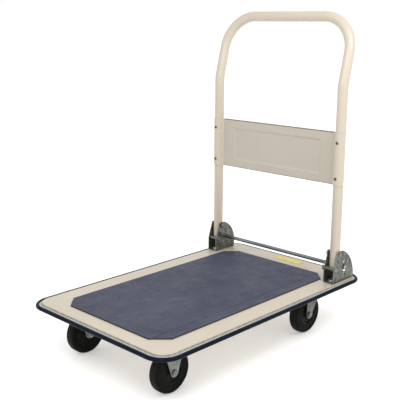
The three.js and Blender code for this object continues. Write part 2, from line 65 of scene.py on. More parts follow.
def add_camera():
    place = Vector((1.2064, -1.2716, 0.7689))
    yaw, pitch, roll = (radians(angle) for angle in (43.94, -13.33, 0.3))
    ahead = Vector((-sin(yaw) * cos(pitch), cos(yaw) * cos(pitch), sin(pitch)))
    level = ahead.cross(Vector((0, 0, 1))).normalized()
    upright = level.cross(ahead)
    right = level * cos(roll) + upright * sin(roll)
    up = upright * cos(roll) - level * sin(roll)
    data = bpy.data.cameras.new("photo_camera")
    data.lens = 67.3
    data.clip_end = 60
    camera = linked("photo_camera", data)
    camera.matrix_world = Matrix.Translation(place) @ Matrix((right, up, -ahead)).transposed().to_4x4()
    scene.camera = camera


def add_light(name, place, target, size, power):
    data = bpy.data.lights.new(name, "AREA")
    data.shape = "DISK"
    data.size = size
    data.energy = power
    light = linked(name, data)
    light.location = place
    light.rotation_euler = (Vector(target) - Vector(place)).to_track_quat("-Z", "Y").to_euler()


def add_studio():
    scene.view_settings.view_transform = "Standard"
    world = bpy.data.worlds.new("studio")
    scene.world = world
    world.use_nodes = True
    background = world.node_tree.nodes["Background"]
    background.inputs["Color"].default_value = (1, 1, 1, 1)
    background.inputs["Strength"].default_value = 1.0
    add_light("over_the_front", (0.35, -0.95, 1.15), (0, -0.2, 0.13), 0.6, 5)
    add_light("beside_the_handle", (0.80, 0.05, 1.25), (0.15, 0.27, 0.68), 0.5, 6)
    reach = 30
    corners = [(-reach, -reach, 0), (reach, -reach, 0), (reach, reach, 0), (-reach, reach, 0)]
    mesh = bpy.data.meshes.new("floor")
    mesh.from_pydata(corners, [], [(0, 1, 2, 3)])
    floor = linked("floor", mesh)
    paper = Finish("floor_paper", (0.9, 0.9, 0.9), 0.9)
    floor.data.materials.append(paper.finish(Emission_Color=(1, 1, 1, 1), Emission_Strength=0.3))


# ---- finishes ----


def shade(colour, share):
    return tuple(min(channel * share, 1.0) for channel in colour)


class Finish:
    """A material and short ways to wire its nodes. Textures use the cart's own coordinates."""

    def __init__(self, name, colour, roughness, metallic=0.0):
        self.material = bpy.data.materials.new(name)
        self.material.use_nodes = True
        self.tree = self.material.node_tree
        self.shader = self.tree.nodes["Principled BSDF"]
        self.place = self.node("TexCoord").outputs["Object"]
        self.colour = colour
        self.give(self.shader, {"Base Color": (*colour, 1), "Roughness": roughness, "Metallic": metallic})

    def node(self, kind, inputs=None, **settings):
        node = self.tree.nodes.new(f"ShaderNode{kind}")
        for key, value in settings.items():
            setattr(node, key, value)
        self.give(node, inputs or {})
        return node

    def give(self, node, inputs):
        for key, value in inputs.items():
            if isinstance(value, bpy.types.NodeSocket):
                self.tree.links.new(value, node.inputs[key])
            else:
                node.inputs[key].default_value = value

    def noise(self, size, detail=2.0, stretch=(1, 1, 1)):
        """Noise from 0 to 1 with features about size millimetres across, longer where stretched."""
        scale = [1 / (size * MM * share) for share in stretch]
        place = self.node("Mapping", {"Vector": self.place, "Scale": scale}).outputs[0]
        return self.node("TexNoise", {"Vector": place, "Scale": 1.0, "Detail": detail}).outputs[0]

    def spread(self, value, low, high, to_low=0.0, to_high=1.0):
        """A value with low and high stretched to to_low and to_high, and held there."""
        limits = {"From Min": low, "From Max": high, "To Min": to_low, "To Max": to_high}
        return self.node("MapRange", {"Value": value, **limits}).outputs[0]

    def patches(self, size, detail, low, high, to_low=0.0, to_high=1.0):
        return self.spread(self.noise(size, detail), low, high, to_low, to_high)

    def combine(self, operation, first, second):
        return self.node("Math", {0: first, 1: second}, operation=operation).outputs[0]

    def blend(self, share, first, second):
        """Colour that goes from first to second."""
        ends = [end if isinstance(end, bpy.types.NodeSocket) else (*end, 1) for end in (first, second)]
        inputs = {0: share, 6: ends[0], 7: ends[1]}
        return self.node("Mix", inputs, data_type="RGBA").outputs[2]

    def wear_and_painted_light(self):
        return self.node("Attribute", attribute_name="wear_and_painted_light").outputs["Fac"]

    def axis(self, letter):
        return self.node("SeparateXYZ", {"Vector": self.place}).outputs[letter.upper()]

    def bump(self, height, depth, after=None):
        """Bumps depth millimetres deep, added to any that came before."""
        inputs = {"Height": height, "Distance": depth * MM, "Strength": 1.0}
        if after is not None:
            inputs["Normal"] = after
        return self.node("Bump", inputs).outputs[0]

    def finish(self, **shader):
        self.give(self.shader, {key.replace("_", " "): value for key, value in shader.items()})
        return self.material


def powder_coat(name, colour, edge_rub_and_shade_colour, edge_share=1.0, low_reflection_colour=None, low_z=0.0):
    """Satin powder coat with an orange peel and specks. Marked edges darken, as rubbed paint on most parts
    and as painted shade on the deck's step and the panel's hems. A low part turns grey as a painted
    reflection.
    """
    paint = Finish(name, colour, 0.36)
    cloud = paint.patches(150, 3, 0.36, 0.66)
    tone = paint.blend(cloud, shade(colour, 0.965), shade(colour, 1.02))
    specks = paint.patches(1.3, 1, 0.70, 0.76, 0, 0.30)
    tone = paint.blend(specks, tone, shade(colour, 0.62))
    # Below low_z the paint turns grey: a painted reflection, used on the deck's flange.
    if low_reflection_colour:
        tone = paint.blend(paint.spread(paint.axis("z"), low_z * MM, (low_z + 1) * MM), low_reflection_colour, tone)
    # Edge darkening: rubbed paint, and painted shade where the edge colour is dark.
    rub_and_shade = paint.combine("MULTIPLY", paint.wear_and_painted_light(), edge_share)
    rough_edge = paint.combine("ADD", rub_and_shade, paint.patches(5, 4, 0.3, 0.7, -0.22, 0.22))
    tone = paint.blend(paint.spread(rough_edge, 0.45, 0.95), tone, edge_rub_and_shade_colour)
    gloss = paint.patches(40, 4, 0.32, 0.68, 0.30, 0.43)
    peel = paint.bump(paint.noise(2.2, 1), 0.035)
    dents = paint.bump(paint.noise(70, 1), 0.25, peel)
    return paint.finish(Base_Color=tone, Roughness=gloss, Normal=dents, Coat_Weight=0.12, Coat_Roughness=0.2)


def plated_steel(name, dark, light, patch, roughness, metallic=0.85, stretch=(1, 1, 1)):
    """Zinc plate: cloudy patches, fine rolling streaks, and marked edges made brighter, partly as rubbed
    metal and partly as a painted highlight.
    """
    plate = Finish(name, light, roughness, metallic)
    cloud = plate.spread(plate.noise(patch, 5, stretch), 0.34, 0.66)
    tone = plate.blend(cloud, dark, light)
    streak = plate.spread(plate.noise(1.1, 3, (1, 9, 1)), 0.40, 0.72, 0, 0.35)
    tone = plate.blend(streak, tone, shade(light, 1.25))
    spots = plate.patches(1.7, 2, 0.66, 0.74, 0, 0.5)
    tone = plate.blend(spots, tone, shade(dark, 0.5))
    # Brighter marked edges: rubbed metal, and a painted highlight along the bevels.
    tone = plate.blend(plate.spread(plate.wear_and_painted_light(), 0.3, 1.0, 0, 0.6), tone, shade(light, 1.6))
    gloss = plate.patches(patch * 0.6, 4, 0.3, 0.7, roughness - 0.09, roughness + 0.12)
    grain = plate.bump(plate.noise(0.9, 3, (1, 5, 1)), 0.02)
    ripple = plate.bump(plate.noise(14, 2), 0.08, grain)
    return plate.finish(Base_Color=tone, Roughness=gloss, Normal=ripple)


def ribbed_vinyl():
    """Blue-grey vinyl: a fine leather grain on the ribs and dusty scuffs, darker in a band round its edge,
    with painted shade in the grooves between the ribs.
    """
    colour = (0.050, 0.055, 0.092)
    vinyl = Finish("ribbed_vinyl", colour, 0.46)
    cloud = vinyl.patches(90, 4, 0.32, 0.68)
    tone = vinyl.blend(cloud, shade(colour, 0.84), (0.061, 0.066, 0.100))
    scuff = vinyl.spread(vinyl.noise(7, 5, (1, 5, 1)), 0.56, 0.74, 0, 0.22)
    tone = vinyl.blend(scuff, tone, (0.19, 0.19, 0.21))
    dust = vinyl.patches(1.1, 2, 0.66, 0.74, 0, 0.35)
    tone = vinyl.blend(dust, tone, (0.24, 0.24, 0.25))
    # Darkens towards near-black where marked: a band round the edge, and painted shade in the grooves.
    tone = vinyl.blend(vinyl.spread(vinyl.wear_and_painted_light(), 0.25, 0.75), tone, (0.020, 0.016, 0.017))
    gloss = vinyl.patches(30, 4, 0.3, 0.7, 0.38, 0.56)
    grain = vinyl.bump(vinyl.noise(0.7, 2), 0.05)
    return vinyl.finish(Base_Color=tone, Roughness=gloss, Normal=grain, Specular_IOR_Level=0.2)


def bumper_vinyl():
    """Dark navy extrusion: glossy, with lengthwise drag lines and a few pale rubs."""
    colour = (0.0030, 0.0060, 0.0130)
    vinyl = Finish("bumper_vinyl", colour, 0.32)
    cloud = vinyl.patches(60, 3, 0.35, 0.65)
    tone = vinyl.blend(cloud, shade(colour, 0.7), shade(colour, 1.25))
    rubs = vinyl.spread(vinyl.noise(3, 4, (4, 4, 0.5)), 0.64, 0.78, 0, 0.30)
    tone = vinyl.blend(rubs, tone, (0.030, 0.036, 0.048))
    gloss = vinyl.patches(22, 4, 0.3, 0.7, 0.24, 0.42)
    drag = vinyl.bump(vinyl.noise(0.8, 2, (14, 14, 0.5)), 0.03)
    sway = vinyl.bump(vinyl.noise(45, 1), 0.30, drag)
    return vinyl.finish(Base_Color=tone, Roughness=gloss, Normal=sway, Specular_IOR_Level=0.06)


def tyre_rubber():
    """Black moulded rubber with a matte grain, dust in patches and a paler trodden face."""
    colour = (0.0035, 0.0045, 0.0035)
    rubber = Finish("tyre_rubber", colour, 0.58)
    dust = rubber.patches(9, 5, 0.45, 0.75, 0, 0.5)
    tone = rubber.blend(dust, colour, (0.012, 0.0125, 0.011))
    tone = rubber.blend(rubber.spread(rubber.wear_and_painted_light(), 0.2, 1.0, 0, 0.6), tone, (0.018, 0.018, 0.016))
    gloss = rubber.patches(14, 4, 0.3, 0.7, 0.44, 0.66)
    grain = rubber.bump(rubber.noise(0.8, 3), 0.05)
    return rubber.finish(Base_Color=tone, Roughness=gloss, Normal=grain, Specular_IOR_Level=0.06)


def hub_plastic():
    """Black moulded hub with a spark-eroded grain."""
    colour = (0.0060, 0.0070, 0.0068)
    plastic = Finish("hub_plastic", colour, 0.42)
    cloud = plastic.patches(20, 3, 0.35, 0.65)
    tone = plastic.blend(cloud, shade(colour, 0.75), shade(colour, 1.5))
    gloss = plastic.patches(6, 3, 0.3, 0.7, 0.34, 0.52)
    grain = plastic.bump(plastic.noise(0.6, 2), 0.04)
    return plastic.finish(Base_Color=tone, Roughness=gloss, Normal=grain, Specular_IOR_Level=0.06)


def yellow_film():
    """A blank yellow sticker: faded in patches, with grubby edges and a slight ripple."""
    colour = (0.60, 0.50, 0.055)
    film = Finish("yellow_film", colour, 0.4)
    fade = film.patches(12, 3, 0.35, 0.7)
    tone = film.blend(fade, colour, (0.66, 0.57, 0.12))
    grime = film.combine("ADD", film.wear_and_painted_light(), film.patches(2.5, 4, 0.3, 0.7, -0.4, 0.3))
    tone = film.blend(film.spread(grime, 0.5, 1.2, 0, 0.7), tone, (0.22, 0.17, 0.04))
    gloss = film.patches(8, 3, 0.3, 0.7, 0.3, 0.5)
    ripple = film.bump(film.noise(9, 2), 0.10)
    return film.finish(Base_Color=tone, Roughness=gloss, Normal=ripple)


enamel_colour = (0.480, 0.425, 0.340)
# Grey for the deck's flange below its step: a painted reflection.
flange_painted_reflection = (0.400, 0.415, 0.400)
# Near-black for the panel's hems: painted shade along its top and bottom.
hem_painted_shade = (0.105, 0.092, 0.072)
finishes = {
    "enamel": powder_coat("cream_powder_coat", enamel_colour, shade(enamel_colour, 0.72), 0.55),
    # On the deck the marked edges are its step, so the dark edge colour there is painted shade.
    "deck_enamel": powder_coat(
        "deck_powder_coat", enamel_colour, shade(enamel_colour, 0.45), 0.9, flange_painted_reflection, 126.6
    ),
    # The panel is a darker copy of the cream paint: painted shade on its front face. Its edge colour is
    # painted shade on the hems.
    "panel_enamel": powder_coat("panel_powder_coat_shaded", (0.420, 0.380, 0.315), hem_painted_shade),
    "vinyl": ribbed_vinyl(),
    "bumper_rubber": bumper_vinyl(),
    "yellow_film": yellow_film(),
    # Darker than the other zinc: a painted dark reflection.
    "bracket_zinc": plated_steel("bracket_zinc", (0.036, 0.038, 0.033), (0.175, 0.182, 0.158), 9, 0.36, 0.75),
    "fork_zinc": plated_steel("fork_zinc", (0.12, 0.13, 0.115), (0.23, 0.245, 0.225), 26, 0.34, 0.8),
    "swivel_zinc": plated_steel("swivel_zinc", (0.07, 0.075, 0.066), (0.15, 0.157, 0.142), 22, 0.34, 0.8),
    "fastener": plated_steel("fastener_zinc", (0.26, 0.26, 0.25), (0.46, 0.46, 0.44), 5, 0.28, 0.9),
    # Darker than the other fasteners: a painted dark reflection, as on the brackets.
    "pin_zinc_dark_reflection": plated_steel("pin_zinc_dark_reflection", (0.09, 0.09, 0.085), (0.20, 0.20, 0.185), 4, 0.34, 0.8),
    "dark_rivet": plated_steel("dark_rivet", (0.035, 0.030, 0.026), (0.085, 0.075, 0.066), 2, 0.36, 0.7),
    "bar_steel": plated_steel("drawn_bar", (0.14, 0.15, 0.16), (0.26, 0.275, 0.29), 9, 0.26, 0.9, (12, 1, 1)),
    # Near black: painted shade for the shadowed slot where the foot bar ends.
    "clip_steel_painted_shade": plated_steel("clip_steel_painted_shade", (0.03, 0.03, 0.03), (0.07, 0.07, 0.07), 4, 0.4, 0.8),
    "tyre_rubber": tyre_rubber(),
    "hub_plastic": hub_plastic(),
}


# ---- shapes ----


def node_box(name):
    """Lowest and highest corners of a CAD node, in millimetres."""
    low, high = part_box(name)
    return low / MM, high / MM


def placed(name):
    """Lowest corner, highest corner and middle of a CAD node."""
    low, high = node_box(name)
    return low, high, (low + high) / 2


class Shape:
    """Vertices in millimetres, faces, and a mark from 0 to 1 for each vertex: rubbed wear on most parts,
    painted shade on the panel's hems, the deck's step and the mat's grooves, and partly a painted highlight
    on zinc edges.
    """

    def __init__(self):
        self.vertices = []
        self.faces = []
        self.wear_and_painted_light = []

    def loft(self, rings, wear_and_painted_light=None, joined=False):
        """Skins rings of equal length. joined closes the last ring onto the first."""
        start = len(self.vertices)
        count = len(rings[0])
        for index, ring in enumerate(rings):
            self.vertices += [Vector(point) for point in ring]
            self.wear_and_painted_light += [wear_and_painted_light[index] if wear_and_painted_light else 0.0] * count
        total = len(rings)
        for row in range(total if joined else total - 1):
            this, following = start + row * count, start + (row + 1) % total * count
            for i in range(count):
                j = (i + 1) % count
                self.faces.append((this + i, this + j, following + j, following + i))
        if not joined:
            self.faces.append(tuple(start + i for i in reversed(range(count))))
            self.faces.append(tuple(start + (total - 1) * count + i for i in range(count)))
        return self

    def take(self, mesh_vertices, mesh_faces, wear_and_painted_light=None):
        """Adds finished vertices and faces."""
        start = len(self.vertices)
        self.vertices += [Vector(point) for point in mesh_vertices]
        self.faces += [tuple(start + i for i in face) for face in mesh_faces]
        self.wear_and_painted_light += wear_and_painted_light or [0.0] * len(mesh_vertices)
        return self


def piece(name, shape, finish, body, replaced=(), crease=38):
    """Makes a shape into an object that rides on a body and stands for CAD nodes."""
    mesh = bpy.data.meshes.new(name)
    mesh.from_pydata([vertex * MM for vertex in shape.vertices], [], shape.faces)
    mesh.attributes.new("wear_and_painted_light", "FLOAT", "POINT").data.foreach_set("value", shape.wear_and_painted_light)
    work = bmesh.new()
    work.from_mesh(mesh)
    bmesh.ops.recalc_face_normals(work, faces=work.faces)
    work.to_mesh(mesh)
    work.free()
    mesh.materials.append(finishes[finish])
    mesh.shade_smooth()
    mesh.set_sharp_from_angle(angle=radians(crease))
    made = linked(name, mesh)
    weighted = made.modifiers.new("even_shading", "WEIGHTED_NORMAL")
    weighted.keep_sharp = True
    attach(made, body)
    if replaced:
        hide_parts(*replaced)
    return made


def rounded(corners, steps=4):
    """A closed outline of (a, b, radius) corners, each turned into an arc of its radius."""
    points = []
    for index, (a, b, radius) in enumerate(corners):
        here = Vector((a, b))
        before, after = Vector(corners[index - 1][:2]), Vector(corners[(index + 1) % len(corners)][:2])
        back, on = (before - here).normalized(), (after - here).normalized()
        if radius <= 0:
            points.append(here)
            continue
        half = back.angle(on) / 2
        reach = radius / tan(half)
        centre = here + (back + on).normalized() * (radius / sin(half))
        first, last = here + back * reach - centre, here + on * reach - centre
        turn = first.angle_signed(last)
        for step in range(steps + 1):
            angle = -turn * step / steps
            c, s = cos(angle), sin(angle)
            points.append(centre + Vector((first.x * c - first.y * s, first.x * s + first.y * c)))
    return points


corner_radius = 50


def cart_ring(inset, z, steps=12):
    """Points round the cart's outline, drawn in by an inset."""
    high = node_box("edge_bumper")[1]
    radius = max(corner_radius - inset, 5)
    points = []
    for quarter, (x, y) in enumerate(((1, 1), (-1, 1), (-1, -1), (1, -1))):
        centre = Vector((x * (high.x - inset - radius), y * (high.y - inset - radius), z))
        for step in range(steps + 1):
            angle = (quarter + step / steps) * pi / 2
            points.append(centre + Vector((radius * cos(angle), radius * sin(angle), 0)))
    return points


def rectangle(low, high, radius, steps):
    """A closed outline with round corners."""
    corners = ((low.x, low.y), (high.x, low.y), (high.x, high.y), (low.x, high.y))
    return rounded([(x, y, radius) for x, y in corners], steps)


def about(axis, centre):
    """Places (radius, angle, along) about an axis that runs through centre."""
    lengthwise = "xyz".index(axis)
    across = [index for index in range(3) if index != lengthwise]

    def place(radius, angle, along):
        point = [along] * 3
        point[across[0]] = centre[across[0]] + radius * cos(angle)
        point[across[1]] = centre[across[1]] + radius * sin(angle)
        return tuple(point)

    return place


def lathe(shape, axis, centre, profile, sides=48, wear_and_painted_light=None, joined=False):
    """Turns (radius, along) points about an axis."""
    place = about(axis, centre)
    rings = [
        [place(radius, 2 * pi * i / sides, along) for i in range(sides)] for radius, along in profile
    ]
    return shape.loft(rings, wear_and_painted_light, joined)


def hexagon(shape, axis, centre, across, start, end, bore=0.0):
    """A hexagon with chamfered corners, from its seat to its crown, open where it has a bore."""
    place = about(axis, centre)
    sides, sixth = 48, pi / 3
    circle = across * 0.475
    way = copysign(1.0, end - start)
    angles = [2 * pi * i / sides for i in range(sides)]
    corners = [across / 2 / cos((angle + sixth / 2) % sixth - sixth / 2) for angle in angles]
    drop = [(corner - circle) * tan(pi / 6) for corner in corners]

    def round_ring(radius, along):
        return [place(radius, angle, along) for angle in angles]

    seat = [place(c, a, start + way * d) for c, a, d in zip(corners, angles, drop)]
    crown = [place(c, a, end - way * d) for c, a, d in zip(corners, angles, drop)]
    rings = [round_ring(circle, start), seat, crown, round_ring(circle, end)]
    if not bore:
        return shape.loft(rings, [0.2, 1, 1, 0.3])
    mouth = 0.7
    inner = [
        round_ring(bore + mouth, end),
        round_ring(bore, end - way * mouth),
        round_ring(bore, start + way * mouth),
        round_ring(bore + mouth, start),
    ]
    return shape.loft(rings + inner, [0.2, 1, 1, 0.3, 0.3, 0, 0, 0.2], joined=True)


def shank(shape, axis, centre, radius, seat, tip, threaded=14.0, pitch=1.25):
    """A bolt's shank from its seat to its tip, with thread crests near the tip."""
    way = copysign(1.0, tip - seat)
    plain = max(abs(tip - seat) - threaded, 0.5)
    profile = [(radius, seat), (radius, seat + way * plain)]
    turns = int((abs(tip - seat) - plain - 1) / pitch)
    for turn in range(turns):
        along = seat + way * (plain + turn * pitch)
        profile += [(radius - 0.65, along + way * pitch * 0.45), (radius, along + way * pitch * 0.95)]
    profile += [(radius - 0.8, tip - way * 0.2), (radius - 1.2, tip)]
    return lathe(shape, axis, centre, profile, 24)


def sheet(outlines, thickness, edge=0.3):
    """A flat sheet centred on z = 0, from an outline followed by its holes, with eased edges."""
    curve = bpy.data.curves.new("sheet", "CURVE")
    curve.dimensions = "2D"
    curve.fill_mode = "BOTH"
    curve.extrude = thickness / 2 - edge
    curve.bevel_depth = edge
    curve.bevel_resolution = 2
    curve.offset = -edge
    for outline in outlines:
        spline = curve.splines.new("POLY")
        spline.points.add(len(outline) - 1)
        for point, place in zip(spline.points, outline):
            point.co = (place[0], place[1], 0, 1)
        spline.use_cyclic_u = True
    holder = bpy.data.objects.new("sheet", curve)
    mesh = bpy.data.meshes.new_from_object(holder)
    work = bmesh.new()
    work.from_mesh(mesh)
    bmesh.ops.remove_doubles(work, verts=work.verts, dist=1e-3)
    bpy.data.objects.remove(holder)
    bpy.data.curves.remove(curve)
    bpy.data.meshes.remove(mesh)
    return work


def emptied(work, shape, thickness, place):
    """Moves a sheet's vertices to where they belong and adds them to a shape."""
    work.verts.index_update()
    wear_and_painted_light = [1.0 if abs(v.co.z) < thickness / 2 - 0.01 else 0.0 for v in work.verts]
    faces = [[v.index for v in face.verts] for face in work.faces]
    shape.take([place(*v.co) for v in work.verts], faces, wear_and_painted_light)
    work.free()
    return shape


def circle(a, b, radius, sides=24):
    """A hole, so it runs clockwise."""
    turns = [-2 * pi * i / sides for i in range(sides)]
    return [(a + radius * cos(turn), b + radius * sin(turn)) for turn in turns]


class Channel:
    """A sheet folded into a U across the cart: a web, and two wings that rise or hang from it."""

    def __init__(self, centre_x, web_z, rise, half_gap, thickness, inner_bend):
        self.centre_x = centre_x
        self.web_z = web_z  # mid-plane of the web
        self.rise = rise
        self.thickness = thickness
        self.radius = inner_bend + thickness / 2
        self.flat = half_gap - inner_bend
        self.arc = self.radius * pi / 2

    def flat_at(self, z):
        """How far out a height on a wing lies once the sheet is unfolded."""
        return self.flat + self.arc + abs(z - self.web_z) - self.radius

    def place(self, u, v, w):
        side, u = copysign(1.0, u), abs(u)
        angle = min(max((u - self.flat) / self.radius, 0.0), pi / 2)
        out = min(u, self.flat) + self.radius * sin(angle) - w * sin(angle)
        up = self.radius * (1 - cos(angle)) + w * cos(angle)
        up += max(u - self.flat - self.arc, 0.0)
        return (self.centre_x + side * out, v, self.web_z + self.rise * up)

    def fold(self, shape, wings, wing_holes=(), web_holes=(), steps=6):
        """Adds the folded sheet. wings holds the right and left outlines in (y, z), front to rear."""
        right, left = ([(self.flat_at(z), y) for y, z in wing] for wing in wings)
        outline = right + [(-u, y) for u, y in reversed(left)]
        holes = [circle(*hole) for hole in web_holes]
        for hole in wing_holes:
            flat_hole = [(self.flat_at(z), y) for y, z in hole]
            holes += [flat_hole, [(-u, y) for u, y in reversed(flat_hole)]]
        outline = clockwise(outline)[::-1]
        work = sheet([outline, *(clockwise(hole) for hole in holes)], self.thickness)
        for side in (-1, 1):
            for step in range(steps + 1):
                u = side * (self.flat + self.arc * step / steps)
                everything = [*work.verts, *work.edges, *work.faces]
                bmesh.ops.bisect_plane(work, geom=everything, plane_co=(u, 0, 0), plane_no=(1, 0, 0))
        return emptied(work, shape, self.thickness, self.place)


def clockwise(outline):
    area = sum(a[0] * b[1] - b[0] * a[1] for a, b in zip(outline, outline[1:] + outline[:1]))
    return list(reversed(outline)) if area > 0 else list(outline)


def sweep(shape, points, radius, sides=16, bore=0.0):
    """A round bar or tube along a line of points."""
    tangents = []
    for index, point in enumerate(points):
        before, after = points[max(index - 1, 0)], points[min(index + 1, len(points) - 1)]
        tangents.append(((point - before).normalized() + (after - point).normalized()).normalized())
    across = tangents[0].orthogonal().normalized()
    outer, inner = [], []
    for point, tangent in zip(points, tangents):
        across = (across - tangent * across.dot(tangent)).normalized()
        other = tangent.cross(across)
        spokes = [2 * pi * i / sides for i in range(sides)]
        outer.append([point + (across * cos(a) + other * sin(a)) * radius for a in spokes])
        inner.append([point + (across * cos(a) + other * sin(a)) * bore for a in spokes])
    if bore:
        return shape.loft(outer + inner[::-1], joined=True)
    return shape.loft(outer)


def arc(centre, first, second, angle, steps):
    """Points from centre + first, turning towards second."""
    turns = [angle * step / steps for step in range(steps + 1)]
    return [centre + first * cos(turn) + second * sin(turn) for turn in turns]


def ease(share):
    share = min(max(share, 0.0), 1.0)
    return share * share * (3 - 2 * share)


# ---- deck ----


def add_deck_shell():
    """The pressed deck: a turned-down skirt, a flange, a soft step and a flat top, 1.5 mm thick."""
    low, high = node_box("deck_plate")
    inset, thickness, flange = 4.5, 1.5, 125.7
    step_inset, step_width = 13.0, 3.2
    rise = high.z - flange
    skirt = [(inset, low.z), (inset, flange - 1.8), (inset + 0.5, flange - 0.6), (inset + 1.8, flange)]
    step = [(step_inset + step_width * i / 10, flange + rise * ease(i / 10)) for i in range(11)]
    over = skirt + step
    under = [(ring_inset + thickness * 0.9, z - thickness * 0.9) for ring_inset, z in over[1:]]
    # The step is marked so the deck paint darkens there: painted shade for the step's shadowed side.
    step_shade = {len(skirt) + i: 1.0 - abs(i - 5) * 0.15 for i in range(1, 10)}
    wear_and_painted_light = [max(step_shade.get(i, 0.0), 0.0) for i in range(len(over))]
    shape = Shape()
    inner = [(under[0][0], low.z), *under]
    profile = list(reversed(over)) + inner
    wear_and_painted_light = list(reversed(wear_and_painted_light)) + [0.0] * len(inner)
    shape.loft([cart_ring(ring_inset, z) for ring_inset, z in profile], wear_and_painted_light)
    piece("deck_shell", shape, "deck_enamel", "cart", ["deck_plate"])


def add_bumper():
    """The soft C section round the deck's edge, with a bull nose and two small lips."""
    low, high = node_box("edge_bumper")
    groove_top, groove_bottom, wall, lip = 125.95, 121.95, 4.25, 8.0
    profile = rounded(
        [
            (0, low.z, 3.2),
            (lip, low.z, 0.9),
            (lip, groove_bottom, 0.5),
            (wall, groove_bottom, 0.3),
            (wall, groove_top, 0.3),
            (lip, groove_top, 0.4),
            (lip, high.z, 1.1),
            (0, high.z, 4.2),
        ],
        7,
    )
    rings = [cart_ring(point.x, point.y, 16) for point in profile]
    shape = Shape().loft(rings, joined=True)
    piece("bumper_strip", shape, "bumper_rubber", "cart", ["edge_bumper"])


def add_mat():
    """The mat: fine lengthwise ribs inside a plain border, cut corners, a darker band round the edge and
    painted shade in the grooves.
    """
    low, high = node_box("deck_mat")
    front_cut, rear_cut, border, pitch, depth = 36.0, 32.0, 2.6, 5.6, 0.7
    half = high.x
    levels = {x: 0.0 for edge in (0, border, front_cut, rear_cut) for x in (edge - half, half - edge)}
    ribs = int(2 * (half - border) / pitch)
    for rib in range(ribs + 1):
        groove = (rib - ribs / 2) * pitch
        for offset, share in ((-1.3, 0), (-0.8, 0.7), (-0.5, 1), (0.5, 1), (0.8, 0.7), (1.3, 0)):
            if abs(groove + offset) < half - border:
                levels[round(groove + offset, 4)] = share
    rings, wear_and_painted_light = [], []
    for x in sorted(levels):
        beside = half - abs(x)
        front, rear = low.y + max(front_cut - beside, 0.0), high.y - max(rear_cut - beside, 0.0)
        edge = 1.0 if beside < 0.01 else 0.0
        soft, chamfer = high.z - 0.5 * edge, high.z - 0.5
        top = min(high.z - depth * levels[x], soft)
        rows = [front, front + 0.5, front + border, rear - border, rear - 0.5, rear]
        ring = [Vector((x, y, z)) for y, z in zip(rows, (chamfer, soft, top, top, soft, chamfer))]
        rings.append(ring + [Vector((x, rear, low.z)), Vector((x, front, low.z))])
        # The grooves are marked half way: painted shade between the ribs.
        grooved = max(edge, 0.5 * levels[x])
        wear_and_painted_light += [1.0, 1.0, grooved, grooved, 1.0, 1.0, 1.0, 1.0]
    shape = Shape().loft(rings)
    shape.wear_and_painted_light = wear_and_painted_light
    piece("mat_sheet", shape, "vinyl", "cart", ["deck_mat"], crease=60)


def add_label():
    low, high = node_box("rear_label")
    outline = rectangle(low, high, 2, 4)
    centre = sum(outline, Vector((0, 0))) / len(outline)
    shape = Shape()
    rings = []
    for share, z in ((1.0, low.z), (1.0, high.z - 0.08), (0.985, high.z), (0.85, high.z)):
        rings.append([Vector((*(centre + (point - centre) * share), z)) for point in outline])
    shape.loft(rings, [1.0, 1.0, 0.9, 0.0])
    piece("blank_sticker", shape, "yellow_film", "cart", ["rear_label"])


def add_crossmember(name):
    """A hat section across the underside, its web hanging down to take the caster plates."""
    low, high = node_box(f"{name}_crossmember")
    mid_y, half = (low.y + high.y) / 2, (high.y - low.y) / 2
    web, thickness = 52.0, 2.0
    right = [
        (web, low.z, 2.4),
        (web + 2, high.z - thickness, 0.9),
        (half, high.z - thickness, 0.6),
        (half, high.z, 0.6),
        (web, high.z, 2.4),
        (web - 2, low.z + thickness, 0.9),
    ]
    left = [(-a, z, radius) for a, z, radius in reversed(right)]
    outline = rounded([(mid_y + a, z, radius) for a, z, radius in right + left], 4)
    shape = Shape()
    ends = [low.x, low.x + 0.6, high.x - 0.6, high.x]
    shape.loft([[Vector((x, point.x, point.y)) for point in outline] for x in ends], [1, 0, 0, 1])
    piece(f"{name}_hat_section", shape, "enamel", "cart", [f"{name}_crossmember"])


# ---- brackets and the lock ----

leg_x, leg_y = 200.0, 264.0
bolt_places = {"front": 252.0, "rear": 312.0}
stop_place = (246.8, 168.0)
pivot_place = (264.0, 204.0)
bar_place = (284.0, 168.0)
bar_radius = 5.0
tail_hole_place = (bar_place[0] - 2, bar_place[1] + 14)
bolt_radius, bolt_hole, nut_bore = 4.0, 4.3, 4.15
bolt_width = 13.0  # across a bolt head's or a nut's flats


def bracket_wing(place):
    """A bracket's wing in (y, z): upright front edge, sloping brow and a round fan behind."""
    low, high = node_box("bracket_right")
    start, chin, brow = low.z + 3.5, 167.0, 254.0
    y, z, radius = {"outboard": (247.0, 137.0, 82.0), "inboard": (252.0, 151.0, 66.0)}[place]
    apex, foot = asin((high.z - z) / radius), asin((start - z) / radius)
    turns = [apex + (foot - apex) * step / 18 for step in range(19)]
    fan = [(y + radius * cos(turn), z + radius * sin(turn)) for turn in turns]
    edge = rounded([(low.y, start, 0), (low.y, chin, 9), (brow, high.z, 3.5), (*fan[0], 0)], 5)
    return edge + fan[1:]


def bar_slot():
    """The slanted slot that the foot bar slides down, in (y, z)."""
    radius, travel, lean = bar_radius + 0.5, 12.0, radians(17)
    down = Vector((sin(lean), -cos(lean)))
    side = Vector((-down.y, down.x))
    start = Vector(bar_place)
    points = arc(start, side * radius, -down * radius, pi, 10)
    return points + arc(start + down * travel, -side * radius, down * radius, pi, 10)


